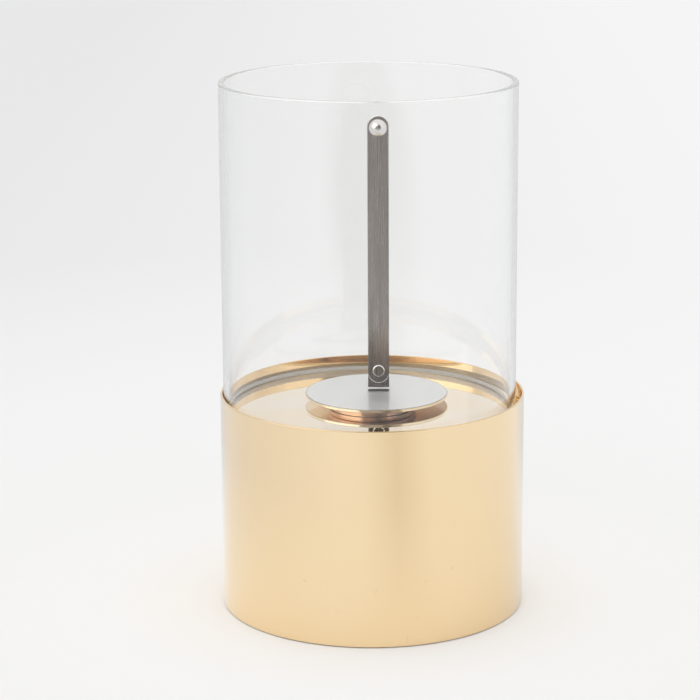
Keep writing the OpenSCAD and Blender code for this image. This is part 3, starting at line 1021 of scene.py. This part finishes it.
def bar_surface(sizes):
    """Flat bar with round ends: its outline is repeated at each step of its rounded front and back edges.

    The outline is two half circles of the bar's half width. A step of the edge at angle a draws it in by
    e * (1 - sin a) and sets it e * (1 - cos a) behind the face. The round ends' edges carry a painted
    highlight.
    """
    low, high, middle = solid_box("handle_bar")
    half = (high[0] - low[0]) / 2
    edge = sizes.bar_edge
    step = np.linspace(0, math.pi / 2, sizes.arc_steps + 1)
    inset = edge * (1 - np.sin(step))
    depth = edge * (1 - np.cos(step))
    inset = np.concatenate([inset, inset[::-1]])
    place = np.concatenate([high[1] - depth, low[1] + depth[::-1]])
    turn = np.linspace(0, math.pi, sizes.around_small // 2)
    turn = np.concatenate([turn, turn + math.pi])
    end = np.repeat([high[2] - half, low[2] + half], len(turn) // 2)
    sections = np.zeros((len(inset), len(turn), 3))
    sections[:, :, 0] = middle[0] + (half - inset)[:, None] * np.cos(turn)
    sections[:, :, 1] = place[:, None]
    sections[:, :, 2] = end + (half - inset)[:, None] * np.sin(turn)
    # Painted highlight along the edges, strongest at the tips of the round ends
    painted_light = (inset < edge)[:, None] * np.abs(np.sin(turn))
    return *swept(sections), painted_light


def knob_surface(sizes):
    """Ball cut off flat where it sits on the bar.

    The cut lies c behind the ball's centre, so the ball's outline starts at the angle -asin(c / r).
    """
    knob = round_solid("grip_knob", FORWARD)
    middle = knob.high - knob.outer
    cut = -math.asin((middle - knob.low) / knob.outer)
    ball = arc_points((0, middle), knob.outer, cut, math.pi / 2, 8 * sizes.arc_steps)
    ball[-1, 0] = 0
    outline = np.concatenate([[(0, knob.low)], ball])
    return turned(outline, knob.centre, FORWARD, sizes.around_small)


class PieceOperator:
    """What the pieces' operators share: each row gives a piece's name, surface, finish, body and solid."""

    bl_options = {"REGISTER", "UNDO"}
    pieces = ()

    def execute(self, context):
        sizes = context.scene.lantern_sizes
        for name, surface, finish, body, node in self.pieces:
            add_piece(name, surface(sizes), finish_of(finish), FINISHES[finish][1], body, node)
        return {"FINISHED"}


class LANTERN_OT_base(PieceOperator, bpy.types.Operator):
    """Adds the brass sleeve and the sunk deck"""

    bl_idname = "lantern.base"
    bl_label = "Brass base"
    pieces = (
        ("sleeve_shell", sleeve_surface, "polished_brass", "base", "base_sleeve"),
        ("deck_pan", deck_surface, "mirror_brass", "base", "deck_plate"),
    )


class LANTERN_OT_pads(PieceOperator, bpy.types.Operator):
    """Adds the felt pads under the base"""

    bl_idname = "lantern.pads"
    bl_label = "Felt pads"
    pieces = (("felt_pads", pad_surface, "felt", "base", "foot_pads"),)


class LANTERN_OT_glass(PieceOperator, bpy.types.Operator):
    """Adds the glass cylinder"""

    bl_idname = "lantern.glass"
    bl_label = "Glass cylinder"
    pieces = (("glass_cylinder", glass_surface, "clear_glass", "glass", "glass_chimney"),)


class LANTERN_OT_burner(PieceOperator, bpy.types.Operator):
    """Adds the burner's neck ring, fuel can and split ring"""

    bl_idname = "lantern.burner"
    bl_label = "Burner"
    pieces = (
        ("neck_ring", neck_surface, "sheen_painted_brass", "burner", "burner_neck"),
        ("fuel_can", can_surface, "plain_steel", "burner", "burner_can"),
        ("split_ring", ring_surface, "plain_steel", "burner", "screen_ring"),
    )


class LANTERN_OT_wool(PieceOperator, bpy.types.Operator):
    """Adds the wool plug that holds the fuel"""

    bl_idname = "lantern.wool"
    bl_label = "Wool plug"
    pieces = (("wool_plug", wool_surface, "mineral_wool", "burner", "fuel_wool"),)


class LANTERN_OT_lid(PieceOperator, bpy.types.Operator):
    """Adds the snuffer lid and its hinge bracket"""

    bl_idname = "lantern.lid"
    bl_label = "Lid and bracket"
    pieces = (
        ("snuffer_disc", lid_surface, "lid_steel", "lid", "lid_disc"),
        ("hinge_angle", bracket_surface, "brushed_steel", "lid", "hinge_bracket"),
    )


class LANTERN_OT_rivets(PieceOperator, bpy.types.Operator):
    """Adds the bracket's rivets, the hinge rivet and the washers"""

    bl_idname = "lantern.rivets"
    bl_label = "Rivets and washers"
    pieces = (
        ("foot_rivets", foot_rivet_surface, "polished_steel", "lid", "bracket_rivets"),
        ("pivot_rivet", hinge_rivet_surface, "rivet_steel", "lid", "hinge_rivet"),
        ("pivot_washers", hinge_washer_surface, "polished_steel", "lid", "hinge_washers"),
        ("screw_washer", knob_washer_surface, "polished_steel", "handle", "knob_washer"),
    )


class LANTERN_OT_handle(PieceOperator, bpy.types.Operator):
    """Adds the handle's bar and knob"""

    bl_idname = "lantern.handle"
    bl_label = "Handle"
    pieces = (
        ("flat_bar", bar_surface, "brushed_steel", "handle", "handle_bar"),
        ("dome_knob", knob_surface, "polished_steel", "handle", "grip_knob"),
    )


class LANTERN_OT_kept(bpy.types.Operator):
    """Gives the solids that stay in view their finish"""

    bl_idname = "lantern.kept"
    bl_label = "Plates and screw"
    bl_options = {"REGISTER", "UNDO"}
    nodes = {"bottom_plate": "plain_steel", "wool_screen": "plain_steel", "knob_screw": "polished_steel"}

    def execute(self, context):
        for node, slot in self.nodes.items():
            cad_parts[node].material_slots[0].material = finish_of(slot)
        return {"FINISHED"}


# Stage


def toward_door(tree, axes):
    """How far a heading's azimuth, counted from the front to the right, is off the doorway's."""
    ahead = worked(tree, "MULTIPLY", axes.outputs["Y"], -1.0)
    azimuth = worked(tree, "ARCTAN2", axes.outputs["X"], ahead)
    return worked(tree, "ABSOLUTE", worked(tree, "SUBTRACT", azimuth, DOOR_AZIMUTH))


def mirrored(tree, value):
    """The value for light that has met a glossy surface, and 0 for all other light."""
    bounces = add_node(tree, "ShaderNodeLightPath").outputs["Glossy Depth"]
    return worked(tree, "MULTIPLY", worked(tree, "GREATER_THAN", bounces, 0.5), value)


def floor_finish(stage):
    """Matt pale floor with painted shade that falls off softly towards the back, more so on the left, and a
    painted pool of light round the foot that lifts its contact shadow and cools the brass's warm glow.

    In mirrored light it is bright round the foot and dimmer further out: a little to the sides, more so at
    the back left, behind and in a strip before the doorway, and most of all well in front of the lantern.
    """
    finish, tree, shader = new_finish("stage_floor")
    tree.nodes.remove(shader)
    place = place_of(tree)
    axes = add_node(tree, "ShaderNodeSeparateXYZ", {"Vector": place})
    away = measured(tree, "LENGTH", place)
    # Painted shade: the far floor is darker, more so on the left
    rightward = rising(tree, axes.outputs["X"], *FLOOR_SIDES)
    far = mixed(tree, rightward, rgba(stage.floor_left), rgba(stage.floor_right))
    # Painted light: the floor round the foot is paler and cooler, against its contact shadow and the
    # brass's warm glow
    near = mixed(tree, rising(tree, away, *FLOOR_NEAR), rgba(stage.lit_near_floor), rgba(stage.floor))
    pale = mixed(tree, rising(tree, away, *FLOOR_FAR), near, far)
    heading = add_node(tree, "ShaderNodeVectorMath", {0: place}, operation="NORMALIZE").outputs["Vector"]
    leftward = rising(tree, measured(tree, "DOT_PRODUCT", heading, BACK_LEFT), *LEFT_CONE)
    mirror = mixed(tree, leftward, rgba(stage.side_floor), rgba(stage.left_floor))
    behind = rising(tree, measured(tree, "DOT_PRODUCT", heading, Y), *BACK_CONE)
    mirror = mixed(tree, behind, mirror, rgba(stage.back_floor))
    strip = falling(tree, toward_door(tree, axes), *STRIP_HALF)
    mirror = mixed(tree, strip, mirror, rgba(stage.dim_floor))
    mirror = mixed(tree, rising(tree, away, *FLOOR_FOOT), rgba(stage.foot_floor), mirror)
    unlit = falling(tree, measured(tree, "DISTANCE", place, UNLIT_SPOT), *UNLIT_EDGE)
    mirror = mixed(tree, unlit, mirror, rgba(stage.front_floor))
    tone = mixed(tree, mirrored(tree, 1.0), pale, mirror)
    matt = add_node(tree, "ShaderNodeBsdfDiffuse", {"Color": tone})
    tree.links.new(matt.outputs["BSDF"], tree.nodes["Material Output"].inputs["Surface"])
    return finish


def add_sky(stage):
    """Even soft light from all round.

    Only mirrored light also shows a hazy horizon behind, a room within a cone round the camera, and in that
    a dark doorway to the right and a bright window at the upper left. A cone is where the heading's dot
    product with its axis is high enough. The doorway is where the heading's azimuth, counted from the front
    to the right, and its height both are right.
    """
    world = bpy.data.worlds.new("studio")
    world.use_nodes = True
    tree = world.node_tree
    heading = add_node(tree, "ShaderNodeTexCoord").outputs["Generated"]
    axes = add_node(tree, "ShaderNodeSeparateXYZ", {"Vector": heading})
    height = axes.outputs["Z"]
    behind = rising(tree, axes.outputs["Y"], *HAZE_BACK)
    horizon = worked(tree, "MULTIPLY", falling(tree, height, *HAZE_TOP), behind)
    room = rising(tree, measured(tree, "DOT_PRODUCT", heading, CAMERA_SIDE), *ROOM_CONE)
    in_door = falling(tree, toward_door(tree, axes), *DOOR_HALF)
    door = worked(tree, "MULTIPLY", in_door, falling(tree, height, *DOOR_TOP))
    window = rising(tree, measured(tree, "DOT_PRODUCT", heading, WINDOW_SIDE), *WINDOW_CONE)
    layers = [
        (horizon, rgba(stage.haze)),
        (room, rgba(stage.room)),
        (door, rgba(stage.shade)),
        (window, WINDOW_GLOW),
    ]
    tone = rgba(stage.sky)
    for cover, shown in layers:
        tone = mixed(tree, mirrored(tree, cover), tone, shown)
    feed(tree, tree.nodes["Background"], {"Color": tone, "Strength": stage.sky_strength})
    bpy.context.scene.world = world


def add_lamp(stage):
    """Square soft lamp above the camera, aimed at the middle of the glass."""
    light = bpy.data.lights.new("lamp", "AREA")
    light.energy = stage.lamp_power
    light.size = stage.lamp_size
    lamp = bpy.data.objects.new("lamp", light)
    back = unit(LAMP_PLACE - LAMP_AIM)
    side = unit(np.cross(Z, back))
    turn = Matrix(np.stack([side, np.cross(back, side), back], -1).tolist()).to_4x4()
    lamp.matrix_world = Matrix.Translation(LAMP_PLACE.tolist()) @ turn
    bpy.context.scene.collection.objects.link(lamp)


def add_floor(stage):
    """Flat square floor under the lantern's feet."""
    half = stage.floor_size / 2
    mesh = bpy.data.meshes.new("floor")
    corners = [(-half, -half, 0), (half, -half, 0), (half, half, 0), (-half, half, 0)]
    mesh.from_pydata(corners, [], [(0, 1, 2, 3)])
    mesh.materials.append(floor_finish(stage))
    floor = bpy.data.objects.new("floor", mesh)
    bpy.context.scene.collection.objects.link(floor)


def add_camera(stage):
    """Camera in front of the lantern that looks down, with a slight turn and lean."""
    camera = bpy.data.cameras.new("camera")
    camera.lens = stage.lens
    viewer = bpy.data.objects.new("camera", camera)
    look = Matrix.Rotation(math.pi / 2 - stage.pitch, 4, "X")
    turn = Matrix.Rotation(stage.turn, 4, "Z")
    roll = Matrix.Rotation(stage.roll, 4, "Z")
    place = Matrix.Translation((0.0, -stage.distance, stage.height))
    viewer.matrix_world = place @ turn @ look @ roll
    bpy.context.scene.collection.objects.link(viewer)
    bpy.context.scene.camera = viewer


class LANTERN_OT_stage(bpy.types.Operator):
    """Adds the floor, the soft light and the camera"""

    bl_idname = "lantern.stage"
    bl_label = "Stage"
    bl_options = {"REGISTER", "UNDO"}

    def execute(self, context):
        stage = context.scene.lantern_stage
        context.scene.view_settings.view_transform = "Standard"
        # Light goes to and fro many times between the lid and the deck
        context.scene.cycles.max_bounces = LIGHT_BOUNCES
        context.scene.cycles.glossy_bounces = LIGHT_BOUNCES
        context.scene.cycles.transmission_bounces = LIGHT_BOUNCES
        add_camera(stage)
        add_floor(stage)
        add_sky(stage)
        add_lamp(stage)
        return {"FINISHED"}


OPERATORS = (
    LANTERN_OT_base,
    LANTERN_OT_pads,
    LANTERN_OT_glass,
    LANTERN_OT_burner,
    LANTERN_OT_wool,
    LANTERN_OT_lid,
    LANTERN_OT_rivets,
    LANTERN_OT_handle,
    LANTERN_OT_kept,
    LANTERN_OT_stage,
)
SETTINGS = {"lantern_sizes": LanternSizes, "lantern_finish": LanternFinish, "lantern_stage": LanternStage}


class LANTERN_PT_panel(bpy.types.Panel):
    """Lists the lantern's operators and settings"""

    bl_idname = "LANTERN_PT_panel"
    bl_label = "Storm Lantern"
    bl_space_type = "VIEW_3D"
    bl_region_type = "UI"
    bl_category = "Lantern"

    def draw(self, context):
        for operator in OPERATORS:
            self.layout.operator(operator.bl_idname)
        for name, group in SETTINGS.items():
            box = self.layout.box()
            for key in group.__annotations__:
                box.prop(getattr(context.scene, name), key)


def register():
    """Registers the settings, the operators and the panel."""
    for name, group in SETTINGS.items():
        bpy.utils.register_class(group)
        setattr(bpy.types.Scene, name, bpy.props.PointerProperty(type=group))
    for operator in OPERATORS:
        bpy.utils.register_class(operator)
    bpy.utils.register_class(LANTERN_PT_panel)


def unregister():
    """Takes the panel, the operators and the settings away again."""
    bpy.utils.unregister_class(LANTERN_PT_panel)
    for operator in reversed(OPERATORS):
        bpy.utils.unregister_class(operator)
    for name, group in SETTINGS.items():
        delattr(bpy.types.Scene, name)
        bpy.utils.unregister_class(group)


def main():
    """Builds the lantern and its stage."""
    register()
    bpy.ops.lantern.stage()
    bpy.ops.lantern.base()
    bpy.ops.lantern.pads()
    bpy.ops.lantern.glass()
    bpy.ops.lantern.burner()
    bpy.ops.lantern.wool()
    bpy.ops.lantern.lid()
    bpy.ops.lantern.rivets()
    bpy.ops.lantern.handle()
    bpy.ops.lantern.kept()


if __name__ == "__main__":
    main()
